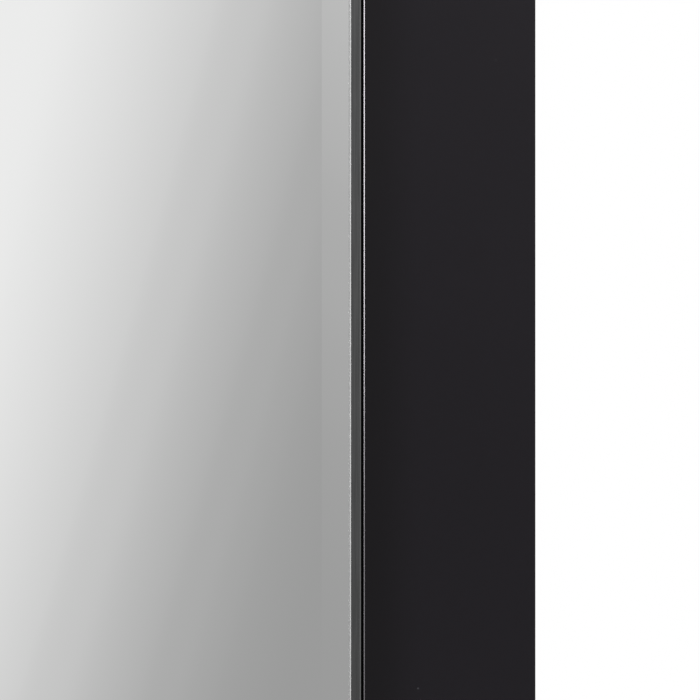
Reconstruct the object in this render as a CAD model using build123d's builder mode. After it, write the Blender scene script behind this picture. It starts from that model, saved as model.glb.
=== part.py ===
"""Wall-hung medicine cabinet: a shallow board box behind one framed, bevelled mirror door.

Millimetres, +Z up. The wall is the plane Y = 0 and the mirror faces -Y. The origin is the centre of
the four wall screw holes, on the wall plane. Left and right are as seen by a person facing the mirror.
"""

import math
import os

from build123d import *

# ---------------------------------------------------------------- driving dimensions
door_width = 508.0
door_height = 660.0
door_thick = 19.0
frame_face = 50.8  # width of the flat face of the door frame
door_overhang = 9.5  # how far the door stands past the box on every side
box_depth = 96.0
board = 15.0  # thickness of the box's boards
barrel = 5.0  # outside diameter of the hinge's barrel, which sets the gap behind the door

# ---------------------------------------------------------------- places worked out from them
box_width = door_width - 2 * door_overhang
box_height = door_height - 2 * door_overhang
inner_width = box_width - 2 * board
inner_height = box_height - 2 * board
door_back = -box_depth - barrel
door_front = door_back - door_thick

# ---------------------------------------------------------------- box details
groove_depth, groove_room = 6.0, 0.5
back_thick = 3.0
groove_width = back_thick + 0.2
board_arris = 0.5
rail_thick = 12.0
rail_height = 60.0
back_front = -rail_thick - back_thick  # front face of the back board
wall_hole_r = 2.75
wall_hole_x = 203.2  # half of the 16 inch stud spacing
wall_hole_z = inner_height / 2 - rail_height / 2

joint_z = (box_height - board) / 2  # middle of the thickness of the top and bottom boards
dowel_r, dowel_length, dowel_chamfer = 4.0, 29.0, 1.0
dowel_in_side = 9.5  # how deep a dowel goes into a side board
rail_dowel_r, rail_dowel_length, rail_dowel_chamfer = 3.0, 24.0, 0.8
rail_dowel_z = [end * (wall_hole_z + step) for end in (-1, 1) for step in (-18.0, 18.0)]
dowel_end_room = 0.5
drill_gap = 0.05  # radial room round dowels, bolts, pins and screws
cam_r, cam_height = 7.4, 12.3
cam_inset = 24.0  # from the end of the board to the centre of the cam
cam_cross, cam_cross_width, cam_cross_depth = 7.0, 1.4, 1.5
cam_slot, cam_slot_length, cam_slot_depth = 6.6, 10.0, 8.0  # the slot that takes the bolt
bolt_r, bolt_thread_r, bolt_bore_r = 3.0, 2.5, 3.5
bolt_in_side, bolt_past_cam = 10.0, 1.0
joint_rows_y = (-82.0, -28.0)  # cam bolts
dowel_rows_y = (-64.0, -46.0)

pin_column_y = (-74.0, -36.0)
pin_pitch, pin_rows = 32.0, 11
pin_r, pin_in_board, pin_hole_depth = 2.45, 7.8, 8.0
pin_collar_r, pin_collar = 4.0, 1.2
pin_reach = 9.0  # how far a pin stands out of the side board
sleeve_r, sleeve_length = 3.5, 7.3
shelf_level = 96.0  # height of the pins above and below the middle
shelf_thick, shelf_depth, shelf_back_gap = 5.0, 70.0, 3.0
shelf_width = inner_width - 3.0
shelf_corner_r, shelf_arris = 4.0, 0.7

# ---------------------------------------------------------------- door details
rabbet = 6.0
lip_thick = 8.0
edge_round = 0.25
sight_chamfer = 0.25
mitre_vee = 0.22  # side of the square whose corner sinks a fine V along each mitre
bead_gap = 0.85  # shadow gap between the frame and the bead
bead_width = 3.25
bead_front = 6.4  # depth of the bead's face behind the frame's face
bead_foot, bead_foot_room = 1.2, 0.5
bead_arris = 0.3  # chamfer of the bead's inner edge
bead_rise, bead_slope = 0.07, 0.3  # how far its outer edge is raised, and over what width
glass_thick = 5.0
glass_room = 0.6  # between the edge of the glass and the rabbet
bevel_width, bevel_drop = 18.0, 1.5
glass_front = 8.5
card_thick, backing_thick = 1.0, 3.0
glass_edge = frame_face - rabbet + glass_room  # from the outside of the frame to the edge of the glass
glass_width = door_width - 2 * glass_edge
glass_height = door_height - 2 * glass_edge

brace_inset, brace_leg, brace_width, brace_thick, brace_corner_r = 27.0, 55.0, 13.0, 1.5, 3.0
brace_screws = (45.0, 70.0)  # from the corner of the frame
brace_line = brace_inset + brace_width / 2
clip_thick, clip_length = 1.0, 12.0
clip_start, clip_end = 33.0, 56.0
clip_line, clip_room = 39.0, 0.4
stile_clips = (-220.0, -80.0, 80.0, 220.0)
rail_clips = (-120.0, 0.0, 120.0)

hinge_length, knuckle_pitch, knuckle_gap = 600.0, 25.0, 0.3
leaf_width, leaf_thick, leaf_notch = 14.0, 1.0, 3.0
hinge_pin_r = 1.2
hinge_x = -box_width / 2
hinge_y = -box_depth - barrel / 2
hinge_screw_line = 8.5  # from the hinge's axis
hinge_screws = [(i - 3.5) * 75.0 for i in range(8)]

catch_x = inner_width / 2 - 7.0
catch_width, catch_depth, catch_height, catch_corner_r = 14.0, 16.0, 34.0, 2.0
catch_front = -box_depth - 2.6
ear_thick, ear_depth, ear_height = 3.0, 10.0, 60.0
ear_y = -box_depth + 6.0
ear_screw_z = 23.5
pole_thick, pole_depth, pole_height, pole_stand = 1.5, 13.0, 28.0, 0.9
magnet_thick, magnet_depth, magnet_height, magnet_inset = 5.0, 11.5, 27.6, 0.5
strike_thick, strike_width, strike_height, strike_corner_r = 1.2, 14.0, 32.0, 2.0
bumper_r, bumper_height, bumper_round, bumper_z = 4.75, 4.7, 2.6, 300.0

screw_head_r, screw_head_h, screw_shank_r = 2.9, 1.0, 1.5
screw_point = 4.5  # length of the tapered point
pan_head_h = 1.4
cross_width, cross_length, cross_depth = 0.6, 3.0, 0.7
hinge_screw_length, short_screw_length = 13.0, 9.5


# ---------------------------------------------------------------- shared shapes
def side_plane(side):
    """A plane at the middle of one side of the door frame, on its outside edge at the face: local X
    runs in towards the mirror, local Y back towards the wall, and local Z along the side."""
    origin, inward = {
        "left": ((-door_width / 2, door_front, 0), (1, 0, 0)),
        "right": ((door_width / 2, door_front, 0), (-1, 0, 0)),
        "top": ((0, door_front, door_height / 2), (0, 0, -1)),
        "bottom": ((0, door_front, -door_height / 2), (0, 0, 1)),
    }[side]
    along = Vector(*inward).cross(Vector(0, 1, 0))
    return Plane(origin=origin, x_dir=inward, z_dir=along)


def side_length(side):
    return door_height if side in ("left", "right") else door_width


def mitre_plane(side, end):
    """The 45 degree plane through the outside corner at one end (+1 or -1) of a side."""
    plane = side_plane(side)
    corner = plane.origin + plane.z_dir * (end * side_length(side) / 2)
    return Plane(origin=corner, z_dir=plane.z_dir * end + plane.x_dir)


def back_facing(x, z, y=door_back):
    """Where a screw is driven into the back of the door, with its head towards the wall."""
    return Plane(origin=(x, y, z), x_dir=(1, 0, 0), z_dir=(0, 1, 0)).location


def front_facing(x, z, y):
    """Where a screw is driven towards the wall, with its head towards the door."""
    return Plane(origin=(x, y, z), x_dir=(1, 0, 0), z_dir=(0, -1, 0)).location


def on_side(side, inward, along, lift):
    """The place of a screw on the back of one side of the frame, its seat lift above the wood."""
    plane = side_plane(side)
    point = plane.origin + plane.x_dir * inward + plane.z_dir * along
    return back_facing(point.X, point.Z, door_back + lift)


def screw(length, pan=False, room=0.0):
    """A wood screw along -Z with the seat of its head at the origin: countersunk, or with a pan head
    that stands above the seat. With room it is the shape drilled for one."""
    head_r, shank_r = screw_head_r + room, screw_shank_r + room
    with BuildPart() as made:
        with BuildSketch(Plane.XZ):
            with BuildLine():
                if pan:
                    Polyline((shank_r, 0), (head_r, 0), (head_r, 0.6 * pan_head_h))
                    ThreePointArc(
                        (head_r, 0.6 * pan_head_h), (0.6 * head_r, 0.92 * pan_head_h), (0, pan_head_h)
                    )
                    Line((0, pan_head_h), (0, -length))
                    Polyline((0, -length), (shank_r, -length + screw_point), (shank_r, 0))
                else:
                    Polyline(
                        (0, 0),
                        (head_r, 0),
                        (shank_r, -screw_head_h),
                        (shank_r, -length + screw_point),
                        (0, -length),
                        close=True,
                    )
            make_face()
        revolve(axis=Axis.Z)
        if not room:
            top = pan_head_h if pan else 0.0
            with Locations((0, 0, top)):
                Box(cross_length, cross_width, 2 * cross_depth, mode=Mode.SUBTRACT)
                Box(cross_width, cross_length, 2 * cross_depth, mode=Mode.SUBTRACT)
    return made.part


def screw_group(places, length, pan=False):
    """Identical screws, each a solid of its own."""
    one = screw(length, pan)
    with BuildPart() as made:
        with Locations(*places):
            add(one)
    return made


def finish(made, name):
    """Names a finished piece and writes its file."""
    made.part.label = name
    export_step(made.part, f"parts/{name}.step")


os.makedirs("parts", exist_ok=True)

# ================================================================ fastener places
hinge_cabinet_places = [
    front_facing(hinge_x + hinge_screw_line, z, -box_depth - leaf_thick) for z in hinge_screws
]
hinge_door_places = [back_facing(hinge_x + hinge_screw_line, z, door_back + leaf_thick) for z in hinge_screws]
catch_places = [
    Plane(
        origin=(inner_width / 2 - ear_thick, ear_y, z), x_dir=(0, 1, 0), z_dir=(-1, 0, 0)
    ).location
    for z in (-ear_screw_z, ear_screw_z)
]
strike_places = [back_facing(catch_x, 0, door_back + strike_thick)]
clip_lines = {"left": stile_clips, "right": stile_clips, "top": rail_clips, "bottom": rail_clips}
clip_places = {
    side: [on_side(side, clip_line, along, clip_thick) for along in lines]
    for side, lines in clip_lines.items()
}
brace_places = {
    side: [
        on_side(side, brace_line, end * (side_length(side) / 2 - reach), brace_thick)
        for end in (-1, 1)
        for reach in brace_screws
    ]
    for side in clip_lines
}


# ================================================================ the box
def side_panel(side):
    """An upright board. side is -1 on the left and +1 on the right."""
    face = side * inner_width / 2
    drilling = Plane(origin=(face, 0, 0), x_dir=(0, 1, 0), z_dir=(side, 0, 0))
    with BuildPart() as made:
        with Locations((side * (box_width - board) / 2, -box_depth / 2, 0)):
            Box(board, box_depth, box_height)
        chamfer(made.edges().filter_by(Axis.Z).group_by(Axis.Y)[0], length=board_arris)
        groove_y = -rail_thick - groove_width / 2
        with Locations((face + side * groove_depth / 2, groove_y, 0)):
            Box(groove_depth, groove_width, inner_height + 2 * groove_depth, mode=Mode.SUBTRACT)
        with BuildSketch(drilling):
            with Locations((sum(pin_column_y) / 2, 0)):
                with GridLocations(pin_column_y[1] - pin_column_y[0], pin_pitch, 2, pin_rows):
                    Circle(pin_r + drill_gap)
        extrude(amount=pin_hole_depth, mode=Mode.SUBTRACT)
        with BuildSketch(drilling):
            with Locations(*[(y, end * joint_z) for y in dowel_rows_y for end in (-1, 1)]):
                Circle(dowel_r + drill_gap)
        extrude(amount=dowel_in_side + dowel_end_room, mode=Mode.SUBTRACT)
        with BuildSketch(drilling):
            with Locations(*[(y, end * joint_z) for y in joint_rows_y for end in (-1, 1)]):
                Circle(bolt_thread_r + drill_gap)
        extrude(amount=bolt_in_side + dowel_end_room, mode=Mode.SUBTRACT)
        with BuildSketch(drilling):
            with Locations(*[(-rail_thick / 2, z) for z in rail_dowel_z]):
                Circle(rail_dowel_r + drill_gap)
        extrude(amount=dowel_in_side + dowel_end_room, mode=Mode.SUBTRACT)
        if side < 0:
            with Locations(*hinge_cabinet_places):
                add(screw(hinge_screw_length, room=drill_gap), mode=Mode.SUBTRACT)
        else:
            with Locations(*catch_places):
                add(screw(short_screw_length, room=drill_gap), mode=Mode.SUBTRACT)
    return made


left_side_panel = side_panel(-1)
finish(left_side_panel, "left_side_panel")
right_side_panel = side_panel(1)
finish(right_side_panel, "right_side_panel")


corners = [(side, end) for side in (-1, 1) for end in (-1, 1)]


def across(x, y, z):
    """Where a round piece lies along X, centred on a point."""
    return Plane(origin=(x, y, z), x_dir=(0, 1, 0), z_dir=(1, 0, 0)).location


def board_end(side, z):
    """The plane of a cross board's end on one side, facing into the board, with local X towards the
    wall and local Y along Z: up on the left and down on the right."""
    return Plane(origin=(side * inner_width / 2, 0, z), x_dir=(0, 1, 0), z_dir=(-side, 0, 0))


def flat_panel(end):
    """The top (+1) or bottom (-1) board, bored from inside for the cams and from its ends for the bolts
    and dowels."""
    inside_z = end * inner_height / 2
    with BuildPart() as made:
        with Locations((0, -box_depth / 2, end * joint_z)):
            Box(inner_width, box_depth, board)
        chamfer(made.edges().filter_by(Axis.X).group_by(Axis.Y)[0], length=board_arris)
        groove_y = -rail_thick - groove_width / 2
        with Locations((0, groove_y, inside_z + end * groove_depth / 2)):
            Box(inner_width, groove_width, groove_depth, mode=Mode.SUBTRACT)
        for side in (-1, 1):
            boring = board_end(side, end * joint_z)
            with BuildSketch(boring):
                with Locations(*[(y, 0) for y in dowel_rows_y]):
                    Circle(dowel_r + drill_gap)
            extrude(amount=dowel_length - dowel_in_side + dowel_end_room, mode=Mode.SUBTRACT)
            with BuildSketch(boring):
                with Locations(*[(y, 0) for y in joint_rows_y]):
                    Circle(bolt_bore_r)
            extrude(amount=cam_inset, mode=Mode.SUBTRACT)
        cam_x = inner_width / 2 - cam_inset
        with BuildSketch(Plane(origin=(0, 0, inside_z), x_dir=(1, 0, 0), z_dir=(0, 0, end))):
            with Locations(*[(side * cam_x, end * y) for side in (-1, 1) for y in joint_rows_y]):
                Circle(cam_r + drill_gap)
        extrude(amount=cam_height + dowel_end_room, mode=Mode.SUBTRACT)
    return made


top_panel = flat_panel(1)
finish(top_panel, "top_panel")
bottom_panel = flat_panel(-1)
finish(bottom_panel, "bottom_panel")

# Back board, held in the grooves, with the wall screws passing through it.
with BuildPart() as back_panel:
    with Locations((0, -rail_thick - back_thick / 2, 0)):
        in_grooves = 2 * (groove_depth - groove_room)
        Box(inner_width + in_grooves, back_thick, inner_height + in_grooves)
    with BuildSketch(Plane.XZ):
        with GridLocations(2 * wall_hole_x, 2 * wall_hole_z, 2, 2):
            Circle(wall_hole_r)
    extrude(amount=rail_thick + back_thick, mode=Mode.SUBTRACT)
finish(back_panel, "back_panel")


def hanging_rail(end):
    """A rail behind the back board that carries the cabinet on its wall screws."""
    with BuildPart() as made:
        with Locations((0, -rail_thick / 2, end * wall_hole_z)):
            Box(inner_width, rail_thick, rail_height)
        with BuildSketch(Plane.XZ):
            with Locations((-wall_hole_x, end * wall_hole_z), (wall_hole_x, end * wall_hole_z)):
                Circle(wall_hole_r)
        extrude(amount=rail_thick, mode=Mode.SUBTRACT)
        for side in (-1, 1):
            with BuildSketch(board_end(side, 0)):
                with Locations(*[(-rail_thick / 2, -side * z) for z in rail_dowel_z if z * end > 0]):
                    Circle(rail_dowel_r + drill_gap)
            extrude(amount=rail_dowel_length - dowel_in_side + dowel_end_room, mode=Mode.SUBTRACT)
    return made


upper_hanging_rail = hanging_rail(1)
finish(upper_hanging_rail, "upper_hanging_rail")
lower_hanging_rail = hanging_rail(-1)
finish(lower_hanging_rail, "lower_hanging_rail")

# Beech dowels that line up the boards and carry the hanging rails.
dowel_x = inner_width / 2 + dowel_in_side - dowel_length / 2
with BuildPart() as carcass_dowels:
    with Locations(
        *[across(side * dowel_x, y, end * joint_z) for side, end in corners for y in dowel_rows_y]
    ):
        Cylinder(dowel_r, dowel_length)
    chamfer(carcass_dowels.edges().filter_by(GeomType.CIRCLE), length=dowel_chamfer)
finish(carcass_dowels, "carcass_dowels")

rail_dowel_x = inner_width / 2 + dowel_in_side - rail_dowel_length / 2
with BuildPart() as rail_dowels:
    with Locations(
        *[across(side * rail_dowel_x, -rail_thick / 2, z) for side in (-1, 1) for z in rail_dowel_z]
    ):
        Cylinder(rail_dowel_r, rail_dowel_length)
    chamfer(rail_dowels.edges().filter_by(GeomType.CIRCLE), length=rail_dowel_chamfer)
finish(rail_dowels, "rail_dowels")

# Bolts that stand out of the side boards and are drawn in by the cams.
with BuildPart() as cam_bolts:
    for side, end in corners:
        for radius, reach in ((bolt_r, cam_inset + bolt_past_cam), (bolt_thread_r, -bolt_in_side)):
            with BuildSketch(board_end(side, end * joint_z)):
                with Locations(*[(y, 0) for y in joint_rows_y]):
                    Circle(radius)
            extrude(amount=reach)
finish(cam_bolts, "cam_bolts")

# Cams, each with a slot for its bolt and a cross for the driver.
with BuildPart() as cam_locks:
    cam_x = inner_width / 2 - cam_inset
    slot_x = cam_x + cam_slot_depth - cam_slot_length / 2
    for side, end in corners:
        for y in joint_rows_y:
            with Locations((side * cam_x, y, end * (inner_height + cam_height) / 2)):
                Cylinder(cam_r, cam_height)
            with Locations((side * slot_x, y, end * joint_z)):
                Box(cam_slot_length, cam_slot, cam_slot, mode=Mode.SUBTRACT)
            with Locations((side * cam_x, y, end * inner_height / 2)):
                Box(cam_cross, cam_cross_width, 2 * cam_cross_depth, mode=Mode.SUBTRACT)
                Box(cam_cross_width, cam_cross, 2 * cam_cross_depth, mode=Mode.SUBTRACT)
finish(cam_locks, "cam_locks")

# ================================================================ shelves
pin_places = [
    Plane(origin=(side * inner_width / 2, y, end * shelf_level), x_dir=(0, 1, 0), z_dir=(-side, 0, 0))
    for side, end in corners
    for y in pin_column_y
]
with BuildPart() as shelf_pins:
    for place in pin_places:
        with BuildSketch(place.offset(-pin_in_board)):
            Circle(pin_r)
        extrude(amount=pin_in_board + pin_reach)
        with BuildSketch(place):
            Circle(pin_collar_r)
        extrude(amount=pin_collar)
finish(shelf_pins, "shelf_pins")

with BuildPart() as shelf_pin_sleeves:
    for place in pin_places:
        with BuildSketch(place.offset(pin_collar)):
            Circle(sleeve_r)
            Circle(pin_r, mode=Mode.SUBTRACT)
        extrude(amount=sleeve_length)
finish(shelf_pin_sleeves, "shelf_pin_sleeves")


def glass_shelf(level):
    """A loose glass shelf with its edges ground, lying on the sleeves of four pins."""
    middle_y = back_front - shelf_back_gap - shelf_depth / 2
    with BuildPart() as made:
        with Locations((0, middle_y, level + sleeve_r + shelf_thick / 2)):
            Box(shelf_width, shelf_depth, shelf_thick)
        fillet(made.edges().filter_by(Axis.Z), radius=shelf_corner_r)
        chamfer(made.faces().sort_by(Axis.Z)[-1].edges(), length=shelf_arris)
        chamfer(made.faces().sort_by(Axis.Z)[0].edges(), length=shelf_arris)
    return made


upper_glass_shelf = glass_shelf(shelf_level)
finish(upper_glass_shelf, "upper_glass_shelf")
lower_glass_shelf = glass_shelf(-shelf_level)
finish(lower_glass_shelf, "lower_glass_shelf")


# ================================================================ the continuous hinge
def hinge_leaf(seat_y, first, places):
    """One leaf with every second knuckle. seat_y is the middle of the leaf's thickness, and first is
    the number of its lowest knuckle."""
    count = round(hinge_length / knuckle_pitch)
    centres = [(i + 0.5) * knuckle_pitch - hinge_length / 2 for i in range(first, count, 2)]
    tab = knuckle_pitch - 2 * knuckle_gap
    with BuildPart() as made:
        with Locations((hinge_x + (leaf_width + leaf_notch) / 2, seat_y, 0)):
            Box(leaf_width - leaf_notch, leaf_thick, hinge_length)
        with Locations(*[(hinge_x + leaf_notch / 2, seat_y, z) for z in centres]):
            Box(leaf_notch, leaf_thick, tab)
        with Locations(*[(hinge_x, hinge_y, z) for z in centres]):
            Cylinder(barrel / 2, tab)
        with Locations((hinge_x, hinge_y, 0)):
            Cylinder(hinge_pin_r + drill_gap, hinge_length, mode=Mode.SUBTRACT)
        with Locations(*places):
            add(screw(hinge_screw_length, room=drill_gap), mode=Mode.SUBTRACT)
    return made


hinge_cabinet_leaf = hinge_leaf(-box_depth - leaf_thick / 2, 0, hinge_cabinet_places)
finish(hinge_cabinet_leaf, "hinge_cabinet_leaf")
hinge_door_leaf = hinge_leaf(door_back + leaf_thick / 2, 1, hinge_door_places)
finish(hinge_door_leaf, "hinge_door_leaf")

with BuildPart() as hinge_pin:
    with Locations((hinge_x, hinge_y, 0)):
        Cylinder(hinge_pin_r, hinge_length)
    chamfer(hinge_pin.edges().filter_by(GeomType.CIRCLE), length=0.3)
finish(hinge_pin, "hinge_pin")

finish(screw_group(hinge_cabinet_places, hinge_screw_length), "hinge_cabinet_screws")
finish(screw_group(hinge_door_places, hinge_screw_length), "hinge_door_screws")

# ================================================================ the magnetic catch
pocket_room = 0.2
pocket_width = magnet_thick + 2 * pole_thick + pocket_room
with BuildPart() as catch_housing:
    with Locations((catch_x, catch_front + catch_depth / 2, 0)):
        Box(catch_width, catch_depth, catch_height)
    fillet(catch_housing.edges().filter_by(Axis.Y).group_by(Axis.X)[0], radius=catch_corner_r)
    with Locations((inner_width / 2 - ear_thick / 2, ear_y, 0)):
        Box(ear_thick, ear_depth, ear_height)
    with Locations((catch_x, catch_front + pole_depth / 2, 0)):
        Box(pocket_width, pole_depth, pole_height + pocket_room, mode=Mode.SUBTRACT)
    with Locations(*catch_places):
        add(screw(short_screw_length, pan=True, room=drill_gap), mode=Mode.SUBTRACT)
finish(catch_housing, "catch_housing")

with BuildPart() as catch_pole_plates:
    pole_x = (magnet_thick + pole_thick) / 2
    pole_y = catch_front - pole_stand + pole_depth / 2
    with Locations((catch_x - pole_x, pole_y, 0), (catch_x + pole_x, pole_y, 0)):
        Box(pole_thick, pole_depth, pole_height)
finish(catch_pole_plates, "catch_pole_plates")

with BuildPart() as catch_magnet:
    with Locations((catch_x, catch_front + magnet_inset + magnet_depth / 2, 0)):
        Box(magnet_thick, magnet_depth, magnet_height)
finish(catch_magnet, "catch_magnet")

finish(screw_group(catch_places, short_screw_length, pan=True), "catch_screws")

with BuildPart() as strike_plate:
    with Locations((catch_x, door_back + strike_thick / 2, 0)):
        Box(strike_width, strike_thick, strike_height)
    fillet(strike_plate.edges().filter_by(Axis.Y), radius=strike_corner_r)
    with Locations(*strike_places):
        add(screw(short_screw_length, room=drill_gap), mode=Mode.SUBTRACT)
finish(strike_plate, "strike_plate")

finish(screw_group(strike_places, short_screw_length), "strike_plate_screw")

# Soft studs on the closing side that keep the door level with the hinge's gap.
with BuildPart() as door_bumpers:
    bumper_x = box_width / 2 - board / 2
    for z in (-bumper_z, bumper_z):
        with BuildSketch(Plane(origin=(bumper_x, door_back, z), x_dir=(1, 0, 0), z_dir=(0, 1, 0))):
            Circle(bumper_r)
        extrude(amount=bumper_height)
    fillet(door_bumpers.faces().sort_by(Axis.Y)[-2:].edges(), radius=bumper_round)
finish(door_bumpers, "door_bumpers")


# ================================================================ the door frame
def frame_member(side):
    """One mitred length of the frame's moulding: a flat face, a small chamfer at the sight edge, a
    rabbet behind for the glass and its backing, and a fine V where two lengths meet."""
    plane = side_plane(side)
    with BuildPart() as made:
        with BuildSketch(plane) as profile:
            with BuildLine():
                Polyline(
                    (0, 0),
                    (frame_face - sight_chamfer, 0),
                    (frame_face, sight_chamfer),
                    (frame_face, lip_thick),
                    (frame_face - rabbet, lip_thick),
                    (frame_face - rabbet, door_thick),
                    (0, door_thick),
                    close=True,
                )
            make_face()
            outer_corners = profile.vertices().filter_by(lambda v: plane.to_local_coords(v).X < 1)
            fillet(outer_corners, radius=edge_round)
        extrude(amount=side_length(side) / 2, both=True)
        for end in (-1, 1):
            mitre = mitre_plane(side, end)
            split(bisect_by=mitre, keep=Keep.BOTTOM)
            inward = plane.x_dir - plane.z_dir * end
            with BuildSketch(Plane(origin=mitre.origin, x_dir=mitre.z_dir, z_dir=inward)):
                Rectangle(mitre_vee, mitre_vee, rotation=45)
            extrude(amount=frame_face * math.sqrt(2), mode=Mode.SUBTRACT)
        with Locations(*brace_places[side]):
            add(screw(short_screw_length, room=drill_gap), mode=Mode.SUBTRACT)
        with Locations(*clip_places[side]):
            add(screw(short_screw_length, room=drill_gap), mode=Mode.SUBTRACT)
        if side == "left":
            with Locations(*hinge_door_places):
                add(screw(hinge_screw_length, room=drill_gap), mode=Mode.SUBTRACT)
        if side == "right":
            with Locations(*strike_places):
                add(screw(short_screw_length, room=drill_gap), mode=Mode.SUBTRACT)
    return made


left_stile = frame_member("left")
finish(left_stile, "left_stile")
right_stile = frame_member("right")
finish(right_stile, "right_stile")
top_rail = frame_member("top")
finish(top_rail, "top_rail")
bottom_rail = frame_member("bottom")
finish(bottom_rail, "bottom_rail")


def sight_bead(side):
    """One mitred length of the slim metal bead between frame and mirror. Its foot is trapped in the
    rabbet, and its nose stands clear of the frame by a shadow gap."""
    foot = frame_face - rabbet + bead_foot_room
    outer = frame_face + bead_gap
    inner = outer + bead_width
    back = lip_thick + bead_foot
    with BuildPart() as made:
        with BuildSketch(side_plane(side)):
            with BuildLine():
                Polyline(
                    (foot, lip_thick),
                    (outer, lip_thick),
                    (outer, bead_front - bead_rise),
                    (outer + bead_slope, bead_front),
                    (inner - bead_arris, bead_front),
                    (inner, bead_front + bead_arris),
                    (inner, back),
                    (foot, back),
                    close=True,
                )
            make_face()
        extrude(amount=side_length(side) / 2, both=True)
        for end in (-1, 1):
            split(bisect_by=mitre_plane(side, end), keep=Keep.BOTTOM)
    return made


for side in ("left", "right", "top", "bottom"):
    finish(sight_bead(side), f"{side}_sight_bead")

# ================================================================ the mirror and what holds it
glass_face_y = door_front + glass_front
glass_back_y = glass_face_y + glass_thick

# Bevelled plate: its edge is thinner than its middle by the drop of the bevel.
with BuildPart() as mirror_glass:
    glass_back = Plane(origin=(0, glass_back_y, 0), x_dir=(1, 0, 0), z_dir=(0, -1, 0))
    with BuildSketch(glass_back):
        Rectangle(glass_width, glass_height)
    extrude(amount=glass_thick - bevel_drop)
    with BuildSketch(glass_back.offset(glass_thick - bevel_drop)):
        Rectangle(glass_width, glass_height)
    with BuildSketch(glass_back.offset(glass_thick)):
        Rectangle(glass_width - 2 * bevel_width, glass_height - 2 * bevel_width)
    loft()
finish(mirror_glass, "mirror_glass")

# Card that packs out the rabbet and keeps the silvering off the backing board.
with BuildPart() as mirror_packing_card:
    with Locations((0, glass_back_y + card_thick / 2, 0)):
        Box(glass_width, card_thick, glass_height)
finish(mirror_packing_card, "mirror_packing_card")

with BuildPart() as mirror_backing_board:
    with Locations((0, glass_back_y + card_thick + backing_thick / 2, 0)):
        Box(glass_width, backing_thick, glass_height)
finish(mirror_backing_board, "mirror_backing_board")

# Stepped clips, screwed to the frame, that press on the backing board.
with BuildPart() as backing_clips:
    board_back = glass_front + glass_thick + card_thick + backing_thick
    step = frame_face - rabbet + clip_room
    for side, lines in clip_lines.items():
        for along in lines:
            with BuildSketch(side_plane(side).offset(along)):
                with BuildLine():
                    Polyline(
                        (clip_start, door_thick),
                        (step, door_thick),
                        (step, board_back),
                        (clip_end, board_back),
                        (clip_end, board_back + clip_thick),
                        (step + clip_thick, board_back + clip_thick),
                        (step + clip_thick, door_thick + clip_thick),
                        (clip_start, door_thick + clip_thick),
                        close=True,
                    )
                make_face()
            extrude(amount=clip_length / 2, both=True)
    for places in clip_places.values():
        with Locations(*places):
            add(screw(short_screw_length, pan=True, room=drill_gap), mode=Mode.SUBTRACT)
finish(backing_clips, "backing_clips")

all_clip_places = [place for places in clip_places.values() for place in places]
finish(screw_group(all_clip_places, short_screw_length, pan=True), "backing_clip_screws")

# Flat steel angles across the mitres.
with BuildPart() as corner_braces:
    corner_x, corner_z = door_width / 2 - brace_inset, door_height / 2 - brace_inset
    with BuildSketch(Plane(origin=(0, door_back + brace_thick, 0), x_dir=(1, 0, 0), z_dir=(0, -1, 0))):
        with BuildLine():
            Polyline(
                (corner_x, corner_z),
                (corner_x - brace_leg, corner_z),
                (corner_x - brace_leg, corner_z - brace_width),
                (corner_x - brace_width, corner_z - brace_width),
                (corner_x - brace_width, corner_z - brace_leg),
                (corner_x, corner_z - brace_leg),
                close=True,
            )
        make_face()
    extrude(amount=brace_thick)
    upright = corner_braces.edges().filter_by(Axis.Y)
    fillet(upright.group_by(Axis.X)[0] + upright.group_by(Axis.Z)[0], radius=brace_corner_r)
    mirror(about=Plane.YZ)
    mirror(about=Plane.XY)
    for places in brace_places.values():
        with Locations(*places):
            add(screw(short_screw_length, room=drill_gap), mode=Mode.SUBTRACT)
finish(corner_braces, "corner_braces")

all_brace_places = [place for places in brace_places.values() for place in places]
finish(screw_group(all_brace_places, short_screw_length), "corner_brace_screws")
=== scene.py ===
"""Looks of the wall-hung medicine cabinet: black lacquered boards and a framed, bevelled mirror.

Metres, in the CAD model's frame: the mirror faces -Y, +Z is up and the wall is at Y = 0.
"""

import math

import bpy
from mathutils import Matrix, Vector


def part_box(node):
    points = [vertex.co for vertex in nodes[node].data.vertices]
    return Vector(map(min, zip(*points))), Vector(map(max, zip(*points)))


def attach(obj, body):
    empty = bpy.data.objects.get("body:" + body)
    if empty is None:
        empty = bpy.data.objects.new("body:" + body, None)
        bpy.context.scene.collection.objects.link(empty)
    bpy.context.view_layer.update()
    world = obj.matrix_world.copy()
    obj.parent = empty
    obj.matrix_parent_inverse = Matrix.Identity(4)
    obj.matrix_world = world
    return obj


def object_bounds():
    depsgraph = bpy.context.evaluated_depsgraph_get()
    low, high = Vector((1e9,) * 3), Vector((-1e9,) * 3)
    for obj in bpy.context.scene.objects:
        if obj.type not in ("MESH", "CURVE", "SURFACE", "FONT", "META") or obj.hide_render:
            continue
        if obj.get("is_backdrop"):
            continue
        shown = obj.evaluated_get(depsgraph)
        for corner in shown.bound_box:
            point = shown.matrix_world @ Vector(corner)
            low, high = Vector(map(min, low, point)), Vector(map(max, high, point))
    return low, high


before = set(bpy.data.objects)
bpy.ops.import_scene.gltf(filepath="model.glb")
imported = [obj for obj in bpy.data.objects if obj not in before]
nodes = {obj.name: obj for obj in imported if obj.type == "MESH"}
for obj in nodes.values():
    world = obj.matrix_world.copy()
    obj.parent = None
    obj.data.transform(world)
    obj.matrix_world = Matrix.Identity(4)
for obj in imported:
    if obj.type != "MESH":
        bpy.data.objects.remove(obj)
cad_low, cad_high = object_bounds()

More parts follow.
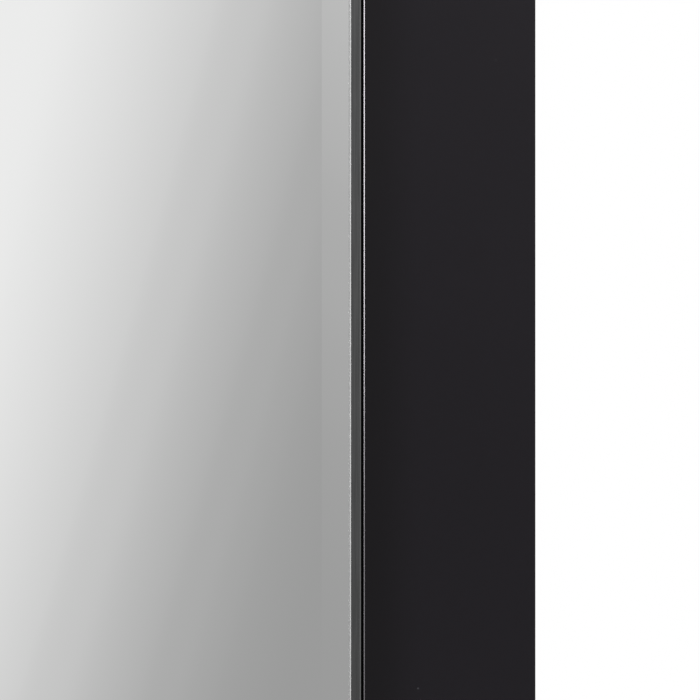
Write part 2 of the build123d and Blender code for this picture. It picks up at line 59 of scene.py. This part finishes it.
# ---------------------------------------------------------------- camera
# Square on to the door and close to the inner edge of the right stile, at mid height. The width of
# the view is measured on the stile's face.
stile_low, stile_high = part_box("right_stile")
bead_inner_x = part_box("right_sight_bead")[0].x
view_width = 0.2072
lens, sensor = 85.0, 36.0
nearest_seen = 0.01
camera = bpy.data.objects.new("camera", bpy.data.cameras.new("camera"))
camera.data.lens = lens
camera.data.sensor_width = sensor
camera.data.clip_start = nearest_seen
camera.location = (bead_inner_x, stile_low.y - view_width * lens / sensor, 0.0)
camera.rotation_euler = (math.pi / 2, 0.0, 0.0)
bpy.context.scene.collection.objects.link(camera)
bpy.context.scene.camera = camera
bpy.context.scene.view_settings.view_transform = "Standard"


# ---------------------------------------------------------------- studio
# A small pale floor that fades out at its rim, in a plain room that is brightest on the left. Two
# soft lamps at the left light the edges of the door, and one above throws the shadow on the floor.
def wire(tree, source, target):
    """Joins an output to an input, each given as (node, name)."""
    tree.links.new(source[0].outputs[source[1]], target[0].inputs[target[1]])


def coordinates(tree, kind="Object"):
    """Texture coordinates of a kind, as (node, output)."""
    return tree.nodes.new("ShaderNodeTexCoord"), kind


def axes(tree, kind="Object"):
    """A node with the X, Y and Z of a kind of texture coordinate as its outputs."""
    made = tree.nodes.new("ShaderNodeSeparateXYZ")
    wire(tree, coordinates(tree, kind), (made, "Vector"))
    return made


def maths(tree, operation, *values):
    """The result of a Math node. Each value is a number, or the (node, output) it comes from."""
    made = tree.nodes.new("ShaderNodeMath")
    made.operation = operation
    for socket, value in zip(made.inputs, values):
        if isinstance(value, tuple):
            tree.links.new(value[0].outputs[value[1]], socket)
        else:
            socket.default_value = value
    return made, "Value"


def ramp(tree, source, stops, smooth="EASE"):
    """The result of a Color Ramp with (position, grey level or colour) stops."""
    made = tree.nodes.new("ShaderNodeValToRGB")
    made.color_ramp.interpolation = smooth
    while len(made.color_ramp.elements) < len(stops):
        made.color_ramp.elements.new(1.0)
    for element, (position, level) in zip(made.color_ramp.elements, stops):
        element.position = position
        colour = level if isinstance(level, tuple) else (level,) * 3
        element.color = (*colour, 1.0)
    wire(tree, source, (made, "Fac"))
    return made, "Color"


def between(tree, source, first, last, start=0.3, stop=0.7):
    """A grey level or colour that eases from first to last while source goes from start to stop."""
    return ramp(tree, source, [(start, first), (stop, last)])


def texture(tree, kind, vector, scale, **settings):
    """A texture node of a kind such as Noise, on a vector given as (node, output)."""
    made = tree.nodes.new("ShaderNodeTex" + kind)
    wire(tree, vector, (made, "Vector"))
    for label, value in {"Scale": scale, **settings}.items():
        if isinstance(value, tuple):
            tree.links.new(value[0].outputs[value[1]], made.inputs[label])
        else:
            made.inputs[label].default_value = value
    return made


def new_material(name, **plain):
    """A material of one Principled shader, with its plain sockets set: (material, tree, shader)."""
    made = bpy.data.materials.new(name)
    made.use_nodes = True
    shader = made.node_tree.nodes["Principled BSDF"]
    for label, value in plain.items():
        shader.inputs[label.replace("_", " ")].default_value = value
    return made, made.node_tree, shader


floor_radius, floor_sides = 0.95, 96
fade_start = 0.55
bpy.ops.object.select_all(action="DESELECT")
bpy.ops.mesh.primitive_circle_add(
    vertices=floor_sides,
    radius=floor_radius,
    fill_type="NGON",
    location=(0.0, cad_low.y / 2, cad_low.z),
)
floor = bpy.context.object
floor.name = "floor"
floor.visible_glossy = False
paint, tree, shader = new_material("floor_paint", Roughness=0.8)
mottle = texture(tree, "Noise", coordinates(tree), scale=6.0)
wire(tree, between(tree, (mottle, "Fac"), 0.80, 0.84), (shader, "Base Color"))
reach = tree.nodes.new("ShaderNodeVectorMath")
reach.operation = "LENGTH"
wire(tree, coordinates(tree), (reach, 0))
share = maths(tree, "DIVIDE", (reach, "Value"), floor_radius)
wire(tree, between(tree, share, 1.0, 0.0, fade_start, 1.0), (shader, "Alpha"))
floor.data.materials.append(paint)
floor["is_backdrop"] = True

# The room's light level follows the direction that a ray leaves in. It is brightest to the upper
# left, low by the middle and a little higher on the near right, with a curtain beyond that. The
# backdrop is white.
rise_left, rise_right, rise_up = 0.96, 0.22, 0.27
crease = 0.01
level_scale, level_base = 2.5, 0.15
low_half = [(0.0, 0.362), (0.12, 0.367), (0.2, 0.4), (0.25, 0.438), (0.31, 0.48)]
high_half = [(0.4, 0.585), (0.48, 0.68), (0.66, 0.88), (0.8, 0.93)]
curtain_start, curtain_full, curtain_shade = 0.60, 0.68, 0.4
world = bpy.data.worlds.new("room")
bpy.context.scene.world = world
world.use_nodes = True
tree = world.node_tree
ray = axes(tree, "Generated")
leftward = maths(tree, "MULTIPLY", (ray, "X"), -rise_left)
rightward = maths(tree, "MULTIPLY", (ray, "X"), rise_right)
sideways = maths(tree, "SMOOTH_MAX", leftward, rightward, crease)
level = maths(tree, "MULTIPLY_ADD", (ray, "Z"), rise_up, sideways)
scaled = maths(tree, "MULTIPLY_ADD", level, level_scale, level_base)
open_room = ramp(tree, scaled, low_half + high_half, "CARDINAL")
bearing = maths(tree, "MULTIPLY_ADD", (ray, "X"), 0.5, 0.5)
curtain = between(tree, bearing, 1.0, curtain_shade, curtain_start, curtain_full)
room_light = maths(tree, "MULTIPLY", open_room, curtain)
seen = tree.nodes.new("ShaderNodeLightPath")
backdrop = maths(tree, "MAXIMUM", room_light, (seen, "Is Camera Ray"))
wire(tree, backdrop, (tree.nodes["Background"], "Color"))


def soft_box(name, location, target, size, power):
    """A square lamp that faces target."""
    lamp = bpy.data.objects.new(name, bpy.data.lights.new(name, "AREA"))
    lamp.data.shape = "SQUARE"
    lamp.data.size = size
    lamp.data.energy = power
    lamp.location = location
    lamp.rotation_euler = (Vector(target) - Vector(location)).to_track_quat("-Z", "Y").to_euler()
    lamp.visible_camera = False
    bpy.context.scene.collection.objects.link(lamp)


soft_box("side_light", (-1.6, -0.55, 0.43), target=(0.0, -0.55, 0.43), size=0.9, power=72.0)
soft_box("low_side_light", (-1.65, -0.55, -0.35), target=(0.0, -0.55, -0.35), size=0.9, power=9.0)
soft_box("top_light", (0.3, -1.2, 2.0), target=(0.0, 0.0, 0.0), size=1.2, power=20.0)


# ---------------------------------------------------------------- the box's boards
# Fibreboard sprayed with satin black lacquer, joined by cams and dowels. The thin back board slides
# in grooves, and its hidden side is bare hardboard.
def mix(tree, factor, first, second):
    """The result of a colour Mix node. first and second are colours, or the (node, output) of one."""
    made = tree.nodes.new("ShaderNodeMix")
    made.data_type = "RGBA"
    factor_in, first_in, second_in, result_out = made.inputs[0], made.inputs[6], made.inputs[7], 2
    tree.links.new(factor[0].outputs[factor[1]], factor_in)
    for socket, value in ((first_in, first), (second_in, second)):
        if len(value) == 2:
            tree.links.new(value[0].outputs[value[1]], socket)
        else:
            socket.default_value = (*value, 1.0)
    return made, result_out


def effect(name, numbers_in, values_out):
    """An empty shader node group: (group, input node, output node)."""
    group = bpy.data.node_groups.new(name, "ShaderNodeTree")
    for label, value in numbers_in.items():
        socket = group.interface.new_socket(label, in_out="INPUT", socket_type="NodeSocketFloat")
        socket.default_value = value
    for label in values_out:
        group.interface.new_socket(label, in_out="OUTPUT", socket_type="NodeSocketFloat")
    return group, group.nodes.new("NodeGroupInput"), group.nodes.new("NodeGroupOutput")


def place_effect(tree, group, **values):
    """The group as a node of a material, with its own values."""
    made = tree.nodes.new("ShaderNodeGroup")
    made.node_tree = group
    for label, value in values.items():
        made.inputs[label.replace("_", " ")].default_value = value
    return made


def stretched(tree, x, y, z):
    """Object coordinates scaled by x, y and z, for a pattern that is longer one way."""
    made = tree.nodes.new("ShaderNodeMapping")
    made.inputs["Scale"].default_value = (x, y, z)
    wire(tree, coordinates(tree), (made, "Vector"))
    return made, "Vector"


def add_bump(tree, shader, height, depth):
    """Raises the surface by up to depth, in metres, where height is 1."""
    made = tree.nodes.new("ShaderNodeBump")
    made.inputs["Distance"].default_value = depth
    wire(tree, height, (made, "Height"))
    wire(tree, (made, "Normal"), (shader, "Normal"))


def dress(material, *names):
    """Puts a material on CAD nodes."""
    for name in names:
        for slot in nodes[name].material_slots:
            slot.material = material


# A sprayed skin: broad haze in the gloss, fine orange peel, and a few specks of settled dust.
haze_scale, speck_grid, speck_reach = 14.0, 260.0, 0.11
skin, start, end = effect(
    "sprayed_skin", {"Peel size": 0.002, "Speck share": 0.02}, ("Height", "Haze", "Speck")
)
place = coordinates(skin)
peel_scale = maths(skin, "DIVIDE", 1.0, (start, "Peel size"))
peel = texture(skin, "Noise", place, peel_scale, Detail=1.5)
wire(skin, (peel, "Fac"), (end, "Height"))
haze = texture(skin, "Noise", place, haze_scale, Detail=4.0)
wire(skin, (haze, "Fac"), (end, "Haze"))
cells = texture(skin, "Voronoi", place, speck_grid)
pick = skin.nodes.new("ShaderNodeSeparateColor")
wire(skin, (cells, "Color"), (pick, "Color"))
near = maths(skin, "LESS_THAN", (cells, "Distance"), speck_reach)
chosen = maths(skin, "LESS_THAN", (pick, "Red"), (start, "Speck share"))
wire(skin, maths(skin, "MULTIPLY", near, chosen), (end, "Speck"))

# Rub along edges: 1 on a sharp outer edge, falling to 0 within the given width.
rub, start, end = effect("edge_rub", {"Width": 0.0006, "Gain": 3.0}, ("Edge",))
rounded = rub.nodes.new("ShaderNodeBevel")
rounded.samples = 4
wire(rub, (start, "Width"), (rounded, "Radius"))
flat = rub.nodes.new("ShaderNodeNewGeometry")
turned = rub.nodes.new("ShaderNodeVectorMath")
turned.operation = "DOT_PRODUCT"
wire(rub, (rounded, "Normal"), (turned, 0))
wire(rub, (flat, "Normal"), (turned, 1))
lost = maths(rub, "SUBTRACT", 1.0, (turned, "Value"))
gained = maths(rub, "MULTIPLY", lost, (start, "Gain"))
wire(rub, maths(rub, "MINIMUM", gained, 1.0), (end, "Edge"))

# Chamfers at 45 degrees to the front are the arrises. The peel stops short of them.
lacquer_sheen = (0.92, 0.86, 0.94, 1.0)
dust, painted_shade_black = (0.03, 0.03, 0.033), (0.0001, 0.0001, 0.0001)
haze_gain = 1.6
arris_slope, arris_reach = 0.71, 0.2
arris_gloss = (0.3, 0.3, 0.3)


def black_lacquer(name, colour, gloss, peel_depth, edge_tone, edge_shade_share=None):
    """Black lacquer: a base colour, (low, high) roughness, depth of peel, and tone of rubbed edges.

    Where given, the last argument is painted shade on the frame: it makes the share of the base
    colour that shows, from 0 where the shade is deepest to 1 where there is none.
    """
    material, tree, shader = new_material(name)
    shader.inputs["Specular Tint"].default_value = lacquer_sheen
    marks = place_effect(tree, skin, Peel_size=0.0022, Speck_share=0.02)
    faded = tuple(haze_gain * channel for channel in colour)
    tone = mix(tree, (marks, "Haze"), colour, faded)
    # Painted shade: the base colour fades to black towards the sight edge of the frame.
    if edge_shade_share:
        tone = mix(tree, edge_shade_share(tree), painted_shade_black, tone)
    dusty = mix(tree, (marks, "Speck"), tone, dust)
    worn = place_effect(tree, rub, Width=0.0007, Gain=2.5)
    wire(tree, mix(tree, (worn, "Edge"), dusty, edge_tone), (shader, "Base Color"))
    slope = maths(tree, "ABSOLUTE", (axes(tree, "Normal"), "Y"))
    arris = maths(tree, "COMPARE", slope, arris_slope, arris_reach)
    open_gloss = between(tree, (marks, "Haze"), *gloss)
    wire(tree, mix(tree, arris, open_gloss, arris_gloss), (shader, "Roughness"))
    open_face = maths(tree, "SUBTRACT", 1.0, arris)
    add_bump(tree, shader, maths(tree, "MULTIPLY", (marks, "Height"), open_face), peel_depth)
    return material


board_lacquer = black_lacquer(
    "board_lacquer",
    colour=(0.006, 0.0055, 0.0065),
    gloss=(0.31, 0.35),
    peel_depth=0.00003,
    edge_tone=(0.022, 0.021, 0.022),
)
dress(board_lacquer, "left_side_panel", "right_side_panel", "top_panel", "bottom_panel")
dress(board_lacquer, "upper_hanging_rail", "lower_hanging_rail")

# Back board: the same black inside. Behind, hardboard with flecks of fibre and a screen's weave.
looks_back = 0.5
board_black = (0.008, 0.0075, 0.0085)
bare_browns = [(0.3, (0.10, 0.055, 0.03)), (0.6, (0.20, 0.115, 0.06)), (0.8, (0.30, 0.19, 0.11))]
fleck_scale = 180.0
net_scale, net_waver, net_depth = 160.0, 0.6, 0.00025
material, tree, shader = new_material("back_board")
fibres = texture(tree, "Noise", stretched(tree, 1.0, 1.0, 3.0), fleck_scale, Detail=6.0)
bare = ramp(tree, (fibres, "Fac"), bare_browns)
hidden_side = maths(tree, "GREATER_THAN", (axes(tree, "Normal"), "Y"), looks_back)
wire(tree, mix(tree, hidden_side, board_black, bare), (shader, "Base Color"))
wire(tree, between(tree, hidden_side, 0.34, 0.75, 0.0, 1.0), (shader, "Roughness"))
strands = []
for direction in ("X", "Z"):
    net = texture(tree, "Wave", coordinates(tree), net_scale, Distortion=net_waver)
    net.bands_direction = direction
    strands.append((net, "Fac"))
weave = maths(tree, "MULTIPLY", *strands)
add_bump(tree, shader, maths(tree, "MULTIPLY", weave, hidden_side), net_depth)
dress(material, "back_panel")

# ---------------------------------------------------------------- dowels, cam bolts and cams
# Turned beech dowels, plated steel bolts and die-cast zinc cams, inside the joints of the box. Only
# the faces of the cams show.
beech_dark, beech_light = (0.52, 0.34, 0.19), (0.70, 0.50, 0.31)
beech_scale, beech_depth = 900.0, 0.00005
material, tree, shader = new_material("beech", Roughness=0.6)
along = texture(tree, "Noise", stretched(tree, 0.15, 1.0, 1.0), beech_scale, Detail=5.0)
wire(tree, between(tree, (along, "Fac"), beech_dark, beech_light), (shader, "Base Color"))
add_bump(tree, shader, (along, "Fac"), beech_depth)
dress(material, "carcass_dowels", "rail_dowels")

cloud_scale = 60.0
rubbed_gain = 1.25


def plated_metal(name, dark, bright, gloss, grain_scale, grain_depth, grain=(1.0, 1.0, 1.0)):
    """Plated metal: a fine grain that may run one way, cloudy gloss, and brighter rubbed edges."""
    material, tree, shader = new_material(name, Metallic=1.0)
    lines = texture(tree, "Noise", stretched(tree, *grain), grain_scale, Detail=4.0)
    cloud = texture(tree, "Noise", coordinates(tree), cloud_scale, Detail=3.0)
    worn = place_effect(tree, rub, Width=0.0004, Gain=3.0)
    plain = between(tree, (cloud, "Fac"), dark, bright)
    light = tuple(min(1.0, rubbed_gain * channel) for channel in bright)
    wire(tree, mix(tree, (worn, "Edge"), plain, light), (shader, "Base Color"))
    wire(tree, between(tree, (lines, "Fac"), *gloss), (shader, "Roughness"))
    add_bump(tree, shader, (lines, "Fac"), grain_depth)
    return material


zinc_casting = plated_metal(
    "zinc_casting",
    dark=(0.46, 0.46, 0.46),
    bright=(0.60, 0.60, 0.59),
    gloss=(0.36, 0.50),
    grain_scale=900.0,
    grain_depth=0.00002,
)
dress(zinc_casting, "cam_locks")
zinc_plate = plated_metal(
    "zinc_plate",
    dark=(0.62, 0.64, 0.66),
    bright=(0.76, 0.77, 0.77),
    gloss=(0.24, 0.34),
    grain_scale=1400.0,
    grain_depth=0.000002,
)
dress(zinc_plate, "cam_bolts", "corner_braces", "backing_clips")

# ---------------------------------------------------------------- shelf pins and their sleeves
# Turned pins with satin nickel plate, pushed into the 32 mm rows of holes. The clear vinyl sleeves
# on them keep the glass from slipping.
nickel = plated_metal(
    "satin_nickel",
    dark=(0.60, 0.57, 0.52),
    bright=(0.72, 0.69, 0.64),
    gloss=(0.20, 0.30),
    grain_scale=1600.0,
    grain_depth=0.000002,
)
dress(nickel, "shelf_pins", "hinge_pin")
dull_vinyl, clear_vinyl = (0.86, 0.88, 0.86), (0.92, 0.93, 0.92)
material, tree, shader = new_material("clear_vinyl", IOR=1.5, Transmission_Weight=0.85)
cloud = texture(tree, "Noise", coordinates(tree), scale=500.0, Detail=3.0)
wire(tree, between(tree, (cloud, "Fac"), dull_vinyl, clear_vinyl), (shader, "Base Color"))
wire(tree, between(tree, (cloud, "Fac"), 0.12, 0.2), (shader, "Roughness"))
dress(material, "shelf_pin_sleeves")

# ---------------------------------------------------------------- glass shelves
# Clear float glass with ground edges, which lies loose on the pins. It is faintly green where it is
# seen through its edge.
face_tint, edge_tint = (0.975, 0.99, 0.98), (0.74, 0.95, 0.87)
ground_gloss = (0.45, 0.45, 0.45)
smear_scale, smear_gloss = 25.0, 0.06
flat_face = 0.9
material, tree, shader = new_material("float_glass", IOR=1.52, Transmission_Weight=1.0)
upright = maths(tree, "ABSOLUTE", (axes(tree, "Normal"), "Z"))
edge_face = maths(tree, "LESS_THAN", upright, flat_face)
wire(tree, mix(tree, edge_face, face_tint, edge_tint), (shader, "Base Color"))
smear = texture(tree, "Noise", stretched(tree, 1.0, 2.5, 1.0), smear_scale, Detail=5.0)
clean = between(tree, (smear, "Fac"), 0.0, smear_gloss, 0.45, 0.75)
wire(tree, mix(tree, edge_face, clean, ground_gloss), (shader, "Roughness"))
dress(material, "upper_glass_shelf", "lower_glass_shelf")

# The flat of each edge is ground with a wheel, so it is frosted and shows the glass's own green.
shelf_arris, shelf_corner, frost_depth = 0.0007, 0.004, 0.00006
frost_thickness = 0.8 * frost_depth
corner_steps, smooth_angle = 10, math.radians(30)
deep_green, pale_green = (0.13, 0.21, 0.18), (0.20, 0.29, 0.26)
frosted, tree, shader = new_material("ground_glass_edge")
grinding = texture(tree, "Noise", stretched(tree, 1.0, 1.0, 8.0), scale=700.0, Detail=4.0)
wire(tree, between(tree, (grinding, "Fac"), deep_green, pale_green), (shader, "Base Color"))
wire(tree, between(tree, (grinding, "Fac"), 0.38, 0.55), (shader, "Roughness"))
add_bump(tree, shader, (grinding, "Fac"), depth=0.00001)


def select_only(piece, part, wanted):
    """Leaves piece in edit mode with only the edges or faces selected that are wanted."""
    bpy.ops.object.mode_set(mode="EDIT")
    bpy.ops.mesh.select_mode(type="EDGE" if part == "edges" else "FACE")
    bpy.ops.mesh.select_all(action="DESELECT")
    bpy.ops.object.mode_set(mode="OBJECT")
    for item in getattr(piece.data, "edges" if part == "edges" else "polygons"):
        item.select = wanted(piece.data, item)
    bpy.ops.object.mode_set(mode="EDIT")


def stands_upright(mesh, edge):
    """Whether an edge runs up and down."""
    first, second = (mesh.vertices[index].co for index in edge.vertices)
    return abs(first.z - second.z) > abs(first.x - second.x) + abs(first.y - second.y)


def lies_flat(mesh, face):
    """Whether a face looks up or down."""
    return abs(face.normal.z) > 0.5


for shelf in ("upper_glass_shelf", "lower_glass_shelf"):
    low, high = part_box(shelf)
    band_size = high - low + Vector((frost_depth, frost_depth, -2 * shelf_arris))
    bpy.ops.object.select_all(action="DESELECT")
    bpy.ops.mesh.primitive_cube_add(size=1.0, location=(low + high) / 2, scale=band_size)
    ground_edge = bpy.context.object
    ground_edge.name = shelf.replace("glass_shelf", "shelf_ground_edge")
    bpy.ops.object.transform_apply(location=True, rotation=True, scale=True)
    select_only(ground_edge, "faces", lies_flat)
    bpy.ops.mesh.delete(type="ONLY_FACE")
    bpy.ops.object.mode_set(mode="OBJECT")
    select_only(ground_edge, "edges", stands_upright)
    bpy.ops.mesh.bevel(offset=shelf_corner, segments=corner_steps)
    bpy.ops.object.mode_set(mode="OBJECT")
    wall = ground_edge.modifiers.new("frost", "SOLIDIFY")
    wall.thickness = frost_thickness
    wall.offset = -1.0
    bpy.ops.object.modifier_apply(modifier=wall.name)
    bpy.ops.object.shade_smooth_by_angle(angle=smooth_angle)
    ground_edge.data.materials.append(frosted)
    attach(ground_edge, "cabinet")

# ---------------------------------------------------------------- the continuous hinge
# Two drawn steel leaves rolled round one pin, with satin nickel plate brushed along their length,
# and held by countersunk screws.
brushed_nickel = plated_metal(
    "brushed_nickel",
    dark=(0.62, 0.59, 0.54),
    bright=(0.70, 0.67, 0.62),
    gloss=(0.24, 0.32),
    grain_scale=2500.0,
    grain_depth=0.0000008,
    grain=(1.0, 1.0, 0.03),
)
dress(brushed_nickel, "hinge_cabinet_leaf", "hinge_door_leaf")
screw_steel = plated_metal(
    "screw_steel",
    dark=(0.56, 0.56, 0.55),
    bright=(0.70, 0.70, 0.68),
    gloss=(0.22, 0.36),
    grain_scale=1500.0,
    grain_depth=0.000003,
)
dress(screw_steel, "hinge_cabinet_screws", "hinge_door_screws", "catch_screws", "strike_plate_screw")
dress(screw_steel, "backing_clip_screws", "corner_brace_screws")

# ---------------------------------------------------------------- the magnetic catch
# A black housing moulded with a fine spark finish, screwed to the side of the box. It holds a
# ferrite magnet between two steel pole plates, which pull on the strike plate of the door.
plastic, rubbed_plastic = (0.012, 0.012, 0.013), (0.05, 0.05, 0.052)
material, tree, shader = new_material("moulded_plastic")
spark = texture(tree, "Noise", coordinates(tree), scale=2200.0, Detail=2.0)
worn = place_effect(tree, rub, Width=0.0005, Gain=2.0)
wire(tree, mix(tree, (worn, "Edge"), plastic, rubbed_plastic), (shader, "Base Color"))
wire(tree, between(tree, (spark, "Fac"), 0.42, 0.58), (shader, "Roughness"))
add_bump(tree, shader, (spark, "Fac"), depth=0.00004)
dress(material, "catch_housing")
dark_ferrite, pale_ferrite = (0.035, 0.034, 0.033), (0.075, 0.073, 0.07)
material, tree, shader = new_material("ferrite")
grit = texture(tree, "Noise", coordinates(tree), scale=1800.0, Detail=6.0)
wire(tree, between(tree, (grit, "Fac"), dark_ferrite, pale_ferrite), (shader, "Base Color"))
wire(tree, between(tree, (grit, "Fac"), 0.5, 0.7), (shader, "Roughness"))
add_bump(tree, shader, (grit, "Fac"), depth=0.00005)
dress(material, "catch_magnet")
pole_steel = plated_metal(
    "pole_steel",
    dark=(0.54, 0.54, 0.55),
    bright=(0.66, 0.66, 0.66),
    gloss=(0.22, 0.34),
    grain_scale=1800.0,
    grain_depth=0.000002,
    grain=(1.0, 0.1, 1.0),
)
dress(pole_steel, "catch_pole_plates", "strike_plate")

# ---------------------------------------------------------------- the door frame
# Flat mouldings mitred at the corners, sprayed a little glossier than the box, with painted shade
# that darkens the lacquer to black along the sight edge. Steel angles are screwed across the mitres
# behind.
sight_x = stile_low.x
sight_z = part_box("top_rail")[0].z
moulding_width = stile_high.x - stile_low.x
# Painted shade on the frame's face, from the sight edge out to these shares of the moulding's width.
shade_fade_start, shade_fade_end = 0.04, 0.36


def beyond_sight_shade(tree):
    """0 at the sight edge of the frame, rising to 1 where the painted shade has faded out."""
    point = axes(tree)
    beside = maths(tree, "SUBTRACT", maths(tree, "ABSOLUTE", (point, "X")), sight_x)
    above = maths(tree, "SUBTRACT", maths(tree, "ABSOLUTE", (point, "Z")), sight_z)
    share = maths(tree, "DIVIDE", maths(tree, "MAXIMUM", beside, above), moulding_width)
    return between(tree, share, 0.0, 1.0, shade_fade_start, shade_fade_end)


frame_lacquer = black_lacquer(
    "frame_lacquer",
    colour=(0.0022, 0.0019, 0.0027),
    gloss=(0.09, 0.12),
    peel_depth=0.00001,
    edge_tone=(0.003, 0.0028, 0.0033),
    edge_shade_share=beyond_sight_shade,
)
dress(frame_lacquer, "left_stile", "right_stile", "top_rail", "bottom_rail")

# ---------------------------------------------------------------- the sight bead
# A slim drawn aluminium bead, brushed along its length. Its face is stained graphite, its walls and
# chamfered inner edge are painted grey, and the floor of the gap beside it is coloured black as
# painted shade.
gap_floor_depth = 0.0077
dark_stain, pale_stain = (0.122, 0.123, 0.124), (0.139, 0.140, 0.141)
wall_grey, arris_grey, gap_painted_shade = (0.085, 0.085, 0.085), (0.16, 0.16, 0.16), (0.002, 0.002, 0.002)
arris_matt = (0.6, 0.6, 0.6)
looks_forward, arris_facing, facing_reach = -0.5, -0.71, 0.15
brush_scale = 2600.0
material, tree, shader = new_material("graphite_bead")
brush = texture(tree, "Noise", stretched(tree, 1.0, 1.0, 0.02), brush_scale, Detail=3.0)
stain = between(tree, (brush, "Fac"), dark_stain, pale_stain)
facing = axes(tree, "Normal")
wall = maths(tree, "GREATER_THAN", (facing, "Y"), looks_forward)
front = maths(tree, "LESS_THAN", (facing, "Y"), looks_forward)
arris = maths(tree, "COMPARE", (facing, "Y"), arris_facing, facing_reach)
# Painted shade: faces that look forward, deep in the gap beside the bead, are coloured black.
low_down = maths(tree, "GREATER_THAN", (axes(tree), "Y"), cad_low.y + gap_floor_depth)
shaded_gap_floor = maths(tree, "MULTIPLY", low_down, front)
with_wall = mix(tree, wall, stain, wall_grey)
with_arris = mix(tree, arris, with_wall, arris_grey)
wire(tree, mix(tree, shaded_gap_floor, with_arris, gap_painted_shade), (shader, "Base Color"))
satin = between(tree, (brush, "Fac"), 0.26, 0.34)
wire(tree, mix(tree, arris, satin, arris_matt), (shader, "Roughness"))
painted = maths(tree, "MAXIMUM", wall, arris)
wire(tree, maths(tree, "SUBTRACT", 1.0, painted), (shader, "Metallic"))
dress(material, "left_sight_bead", "right_sight_bead", "top_sight_bead", "bottom_sight_bead")

# ---------------------------------------------------------------- the mirror
# A 5 mm plate with a polished bevel, silvered behind, that lies against the back of the bead. It is
# almost neutral, with the faintest marks of wiping.
dull_silver, bright_silver = (0.90, 0.904, 0.90), (0.905, 0.907, 0.904)
wipe_scale, wipe_gloss = 18.0, 0.02
material, tree, shader = new_material("mirror_silver", Metallic=1.0)
wipe = texture(tree, "Noise", stretched(tree, 1.0, 1.0, 0.4), wipe_scale, Detail=6.0)
wire(tree, between(tree, (wipe, "Fac"), dull_silver, bright_silver), (shader, "Base Color"))
wire(tree, between(tree, (wipe, "Fac"), 0.0, wipe_gloss, 0.4, 0.8), (shader, "Roughness"))
dress(material, "mirror_glass")

# ---------------------------------------------------------------- behind the mirror
# Grey pulp card, which keeps the silvering off the board behind it, and a backing of brown hardboard
# with a pressed, half-gloss face. Stepped clips press on the board.
dark_card, pale_card = (0.34, 0.33, 0.31), (0.48, 0.47, 0.44)
material, tree, shader = new_material("grey_card", Roughness=0.85)
pulp = texture(tree, "Noise", coordinates(tree), scale=700.0, Detail=6.0)
wire(tree, between(tree, (pulp, "Fac"), dark_card, pale_card), (shader, "Base Color"))
add_bump(tree, shader, (pulp, "Fac"), depth=0.00006)
dress(material, "mirror_packing_card")
face_browns = [(0.3, (0.13, 0.075, 0.042)), (0.55, (0.19, 0.115, 0.065)), (0.8, (0.27, 0.17, 0.10))]
patch_brown = (0.17, 0.10, 0.058)
material, tree, shader = new_material("hardboard")
fibres = texture(tree, "Noise", stretched(tree, 1.0, 1.0, 1.6), scale=240.0, Detail=8.0)
patch = texture(tree, "Noise", coordinates(tree), scale=12.0, Detail=3.0)
pressed_face = ramp(tree, (fibres, "Fac"), face_browns)
wire(tree, mix(tree, (patch, "Fac"), pressed_face, patch_brown), (shader, "Base Color"))
wire(tree, between(tree, (fibres, "Fac"), 0.42, 0.6), (shader, "Roughness"))
add_bump(tree, shader, (fibres, "Fac"), depth=0.00003)
dress(material, "mirror_backing_board")

# ---------------------------------------------------------------- door bumpers
# Soft black rubber studs, stuck to the back of the door on its closing side. Bloom has greyed them
# a little.
fresh_rubber, bloomed_rubber = (0.014, 0.014, 0.014), (0.035, 0.035, 0.034)
material, tree, shader = new_material("stud_rubber")
bloom = texture(tree, "Noise", coordinates(tree), scale=500.0, Detail=4.0)
rubber = between(tree, (bloom, "Fac"), fresh_rubber, bloomed_rubber, 0.35, 0.75)
wire(tree, rubber, (shader, "Base Color"))
wire(tree, between(tree, (bloom, "Fac"), 0.62, 0.8), (shader, "Roughness"))
add_bump(tree, shader, (bloom, "Fac"), depth=0.00003)
dress(material, "door_bumpers")

# ---------------------------------------------------------------- end
# The box round all that is seen, in metres, to set beside the box round the CAD. They are the same as
# long as nothing that is seen reaches past the CAD.
low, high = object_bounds()
